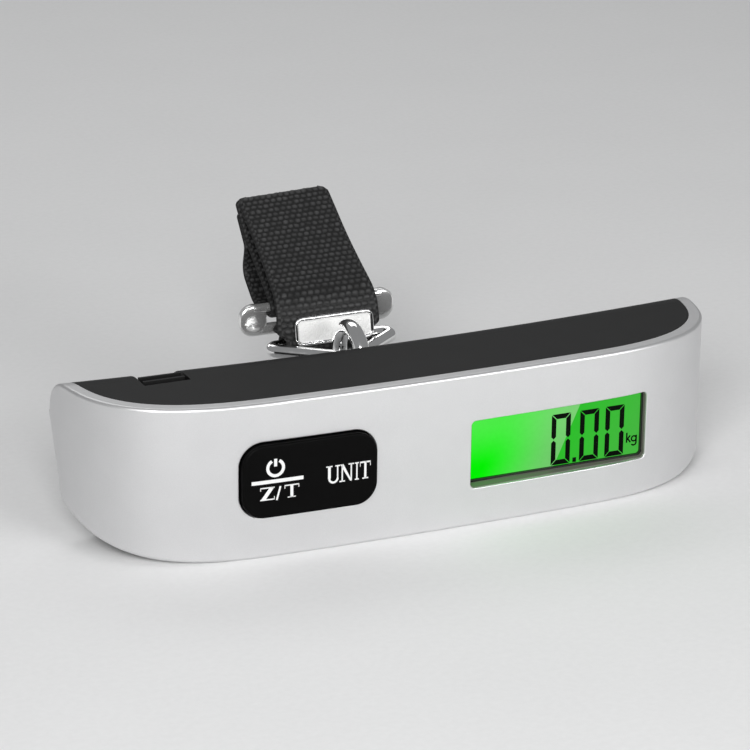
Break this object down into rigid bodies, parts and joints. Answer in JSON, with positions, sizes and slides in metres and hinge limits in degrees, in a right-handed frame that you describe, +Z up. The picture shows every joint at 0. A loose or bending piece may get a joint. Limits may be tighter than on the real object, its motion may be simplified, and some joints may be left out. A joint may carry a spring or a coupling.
{
  "type": "digital luggage scale",
  "caption": "Hand-held digital luggage scale: curved two-shell body with a green-lit display and a rocker key, and a webbing strap on a ring and eye that weighs a hanging bag.",
  "frame": {"origin": "centre of the flat bottom face that the body stands on, at mid length", "axes": "+X along the body to the viewer's right, +Y from the display face back towards the strap, +Z up"},
  "size_m": [0.16, 0.0932, 0.0556],
  "materials": {
    "silver_shell": "fine-grained matt silver",
    "black_shell": "satin black",
    "black_key": "satin black with white print",
    "bezel_plastic": "dark satin",
    "display": "green backlit display with black digits",
    "acrylic": "clear light guide",
    "silicone": "layered silicone",
    "board": "green solder mask",
    "epoxy": "black epoxy",
    "switch_plastic": "black moulding",
    "steel": "machined steel",
    "chrome": "bright nickel plate",
    "foil": "amber foil",
    "battery": "stainless can",
    "spring_steel": "nickel-plated spring strip",
    "screw": "dark zinc",
    "webbing": "black woven nylon"
  },
  "bodies": {
    "housing": {"front_shell": "silver_shell", "rear_shell": "black_shell", "coin_cell": "battery", "battery_spring": "spring_steel", "battery_side_contact": "spring_steel", "display_bezel": "bezel_plastic", "display_glass": "display", "light_guide": "acrylic", "display_connector": "silicone", "circuit_board": "board", "controller": "epoxy", "amplifier": "epoxy", "key_pin": "steel", "key_bracket": "switch_plastic", "switch_base_left": "switch_plastic", "switch_base_right": "switch_plastic", "load_cell": "steel", "strain_gauges": "foil", "cell_bolts": "screw", "eye_hook": "chrome", "hook_washer": "steel", "hook_nut": "steel", "hook_collar": "black_shell", "closure_screws": "screw"},
    "key": {"key_pad": "black_key"},
    "left_plunger": {"switch_plunger_left": "switch_plastic"},
    "right_plunger": {"switch_plunger_right": "switch_plastic"},
    "door": {"battery_door": "black_shell"},
    "ring": {"triangle_ring": "chrome"},
    "strap": {"strap_webbing": "webbing", "clamp_plate": "chrome", "clamp_backing": "chrome"},
    "toggle": {"toggle_plate": "chrome"}
  },
  "joints": [
    {"name": "key_rock", "type": "hinge", "parent": "housing", "child": "key", "pos_m": [-0.0321, -0.006, 0.0188], "axis": [0, 0, 1], "range_deg": [-1.5, 1.5], "stiffness_Nm_per_rad": 0.4},
    {"name": "left_switch", "type": "slide", "parent": "housing", "child": "left_plunger", "axis": [0, 1, 0], "range_m": [-0.0003, 0.0003]},
    {"name": "right_switch", "type": "slide", "parent": "housing", "child": "right_plunger", "axis": [0, 1, 0], "range_m": [-0.0003, 0.0003]},
    {"name": "door_lift", "type": "slide", "parent": "housing", "child": "door", "axis": [0, 1, 0], "range_m": [0, 0.02]},
    {"name": "ring_swing", "type": "hinge", "parent": "housing", "child": "ring", "pos_m": [0, 0.03673, 0.0257], "axis": [1, 0, 0], "range_deg": [-60, 75]},
    {"name": "strap_swing", "type": "hinge", "parent": "ring", "child": "strap", "pos_m": [0, 0.0502, 0.0257], "axis": [1, 0, 0], "range_deg": [-100, 0]},
    {"name": "toggle_tilt", "type": "hinge", "parent": "strap", "child": "toggle", "pos_m": [0, 0.0581, 0.0332], "axis": [1, 0, 0], "range_deg": [-25, 35]}
  ],
  "couplings": [
    {"joint": "left_switch", "follows": "key_rock", "m_per_rad": -0.009},
    {"joint": "right_switch", "follows": "key_rock", "m_per_rad": 0.009}
  ]
}
